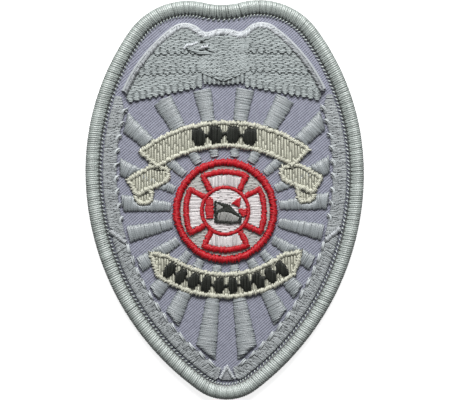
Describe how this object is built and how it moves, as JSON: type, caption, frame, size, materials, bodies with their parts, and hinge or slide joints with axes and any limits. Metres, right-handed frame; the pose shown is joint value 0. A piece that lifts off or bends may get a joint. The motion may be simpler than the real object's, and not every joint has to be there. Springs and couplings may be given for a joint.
{
  "type": "embroidered firefighter patch",
  "caption": "Shield-shaped embroidered firefighter shoulder patch with an overlocked edge, satin rays, a spread eagle, two scrolls and a red and white cross medallion.",
  "frame": {"origin": "middle of the patch's length and width, on the flat back of the overlocked edge", "axes": "+Z out of the embroidered face, +Y towards the top of the shield, +X to the right seen from the front"},
  "size_m": [0.0628, 0.09, 0.0026],
  "materials": {
    "twill": "matt twill weave",
    "edge_thread": "satin stitch thread",
    "eagle_thread": "satin stitch thread",
    "bright_thread": "satin stitch thread",
    "band_thread": "satin stitch thread",
    "ray_thread": "satin stitch thread",
    "scroll_thread": "satin stitch thread",
    "black_thread": "satin stitch thread",
    "ground_thread": "satin stitch thread",
    "red_thread": "satin stitch thread",
    "white_thread": "satin stitch thread",
    "helmet_thread": "satin stitch thread"
  },
  "bodies": {
    "root": {"twill_ground": "twill", "merrow_edge": "edge_thread", "eagle_body": "eagle_thread", "eagle_wing_left": "eagle_thread", "eagle_wing_right": "eagle_thread", "eagle_top_cord": "bright_thread", "band_upper_left": "band_thread", "band_upper_right": "band_thread", "band_lower_left": "band_thread", "band_lower_right": "band_thread", "band_tie_left": "bright_thread", "band_tie_right": "bright_thread", "tip_chevron": "bright_thread", "ray_01": "ray_thread", "ray_02": "ray_thread", "ray_03": "ray_thread", "ray_04": "ray_thread", "ray_05": "ray_thread", "ray_06": "ray_thread", "ray_07": "ray_thread", "ray_08": "ray_thread", "ray_09": "ray_thread", "ray_10": "ray_thread", "ray_11": "ray_thread", "ray_12": "ray_thread", "ray_13": "ray_thread", "ray_14": "ray_thread", "ray_15": "ray_thread", "ray_16": "ray_thread", "ray_17": "ray_thread", "ray_18": "ray_thread", "ray_19": "ray_thread", "ray_20": "ray_thread", "scroll_top": "scroll_thread", "scroll_tail_left": "scroll_thread", "scroll_tail_right": "scroll_thread", "scroll_fold_left": "scroll_thread", "scroll_fold_right": "scroll_thread", "scroll_bottom": "scroll_thread", "scroll_trim_top": "black_thread", "scroll_trim_bottom": "black_thread", "medallion_ground": "ground_thread", "medallion_ring": "red_thread", "arm_cord_top": "red_thread", "arm_cord_left": "red_thread", "arm_cord_bottom": "red_thread", "arm_cord_right": "red_thread", "arm_fill_top": "white_thread", "arm_fill_left": "white_thread", "arm_fill_bottom": "white_thread", "arm_fill_right": "white_thread", "hub_ring": "red_thread", "hub_disc": "white_thread", "helmet_shell": "black_thread", "helmet_crown": "helmet_thread", "helmet_brim": "helmet_thread", "red_bar": "red_thread", "red_wedge": "red_thread", "red_knob": "red_thread"}
  },
  "joints": []
}
